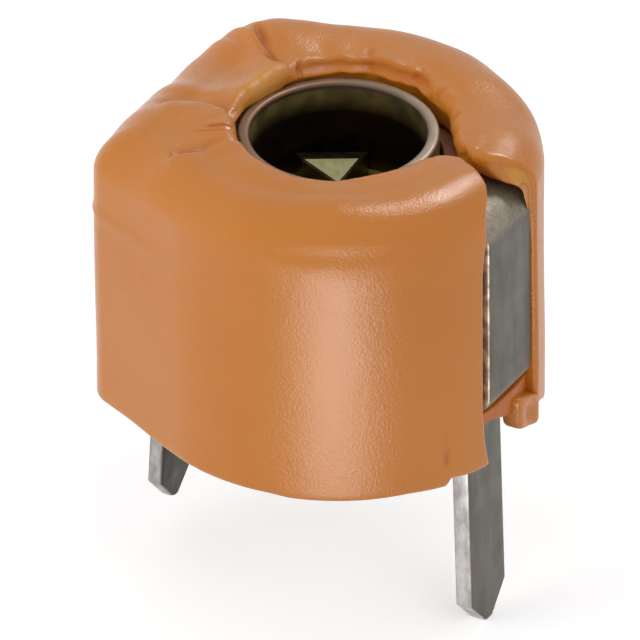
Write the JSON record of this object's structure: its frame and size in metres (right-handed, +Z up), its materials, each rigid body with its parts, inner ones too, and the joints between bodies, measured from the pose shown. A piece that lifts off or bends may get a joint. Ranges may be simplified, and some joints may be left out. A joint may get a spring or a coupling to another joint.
{
  "type": "trimmer capacitor",
  "caption": "Ceramic disc trimmer capacitor in a D-shaped moulded cover, with a turning metal adjuster tube in its top opening and two flat pointed leads below.",
  "frame": {"origin": "the rotor's axis at the cover's underside, which rests on the board", "axes": "+Z up the rotor's axis, out of the opening; +X from the axis to the rotor terminal's strap, in the cover's slot; the leads reach down along -Z"},
  "size_m": [0.0061, 0.006, 0.0079],
  "materials": {
    "cover_plastic": "satin moulded orange thermoplastic with fine orange peel",
    "stator_ceramic": null,
    "rotor_ceramic": null,
    "silver_film": "fired silver film",
    "tinned_strip": "dull tinned brass strip, brassy where it is cut",
    "adjuster_brass": "nickel plated brass, worn to brass inside the bore",
    "spring_metal": "bright spring strip",
    "solder": "smooth solder"
  },
  "bodies": {
    "base": {"cover": "cover_plastic", "stator": "stator_ceramic", "stator_electrode": "silver_film", "stator_terminal": "tinned_strip", "stator_solder": "solder", "spring_washer": "spring_metal", "rotor_terminal": "tinned_strip"},
    "rotor": {"adjuster": "adjuster_brass", "rotor_disc": "rotor_ceramic", "rotor_electrode": "silver_film", "rotor_solder": "solder"}
  },
  "joints": [
    {"name": "rotor_turn", "type": "hinge", "parent": "base", "child": "rotor", "pos_m": [0, 0, 0], "axis": [0, 0, 1], "continuous": true}
  ]
}
